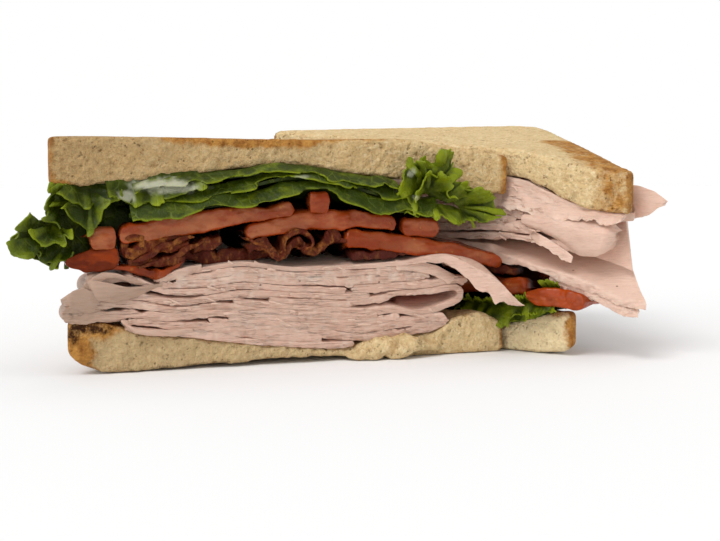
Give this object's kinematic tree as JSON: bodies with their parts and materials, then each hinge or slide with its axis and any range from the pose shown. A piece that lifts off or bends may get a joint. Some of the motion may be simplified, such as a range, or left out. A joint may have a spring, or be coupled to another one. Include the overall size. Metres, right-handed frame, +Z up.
{
  "type": "club sandwich",
  "caption": "Toasted sandwich cut on the diagonal, halves pressed together, with folded turkey, bacon, tomato and ruffled lettuce between bread slices.",
  "frame": {"origin": "middle of the sandwich's box, on the surface it rests on", "axes": "+X to the right along the front half's cut face, +Y away from it, +Z up"},
  "size_m": [0.2087, 0.144, 0.0791],
  "materials": {
    "bread": "dry toasted crumb",
    "turkey": "moist",
    "lettuce": "waxy",
    "tomato": "wet",
    "bacon": "greasy"
  },
  "bodies": {
    "root": {"front_bacon_1": "bacon", "front_bacon_2": "bacon", "front_bacon_3": "bacon", "front_bacon_4": "bacon", "front_bacon_5": "bacon", "front_bottom_bread": "bread", "front_lettuce_frill": "lettuce", "front_lettuce_left": "lettuce", "front_lettuce_lower": "lettuce", "front_lettuce_middle": "lettuce", "front_lettuce_upper": "lettuce", "front_tomato_core": "tomato", "front_tomato_cube": "tomato", "front_tomato_left": "tomato", "front_tomato_lower": "tomato", "front_tomato_middle": "tomato", "front_tomato_right": "tomato", "front_tomato_upper": "tomato", "front_top_bread": "bread", "front_turkey_1": "turkey", "front_turkey_2": "turkey", "front_turkey_3": "turkey", "front_turkey_4": "turkey", "front_turkey_5": "turkey", "front_turkey_6": "turkey", "front_turkey_7": "turkey", "front_turkey_8": "turkey", "rear_bacon": "bacon", "rear_bottom_bread": "bread", "rear_lettuce": "lettuce", "rear_lettuce_tip": "lettuce", "rear_tomato_1": "tomato", "rear_tomato_2": "tomato", "rear_top_bread": "bread", "rear_turkey_1": "turkey", "rear_turkey_2": "turkey", "rear_turkey_3": "turkey", "rear_turkey_4": "turkey", "rear_turkey_5": "turkey", "rear_turkey_6": "turkey", "rear_turkey_7": "turkey"}
  },
  "joints": []
}
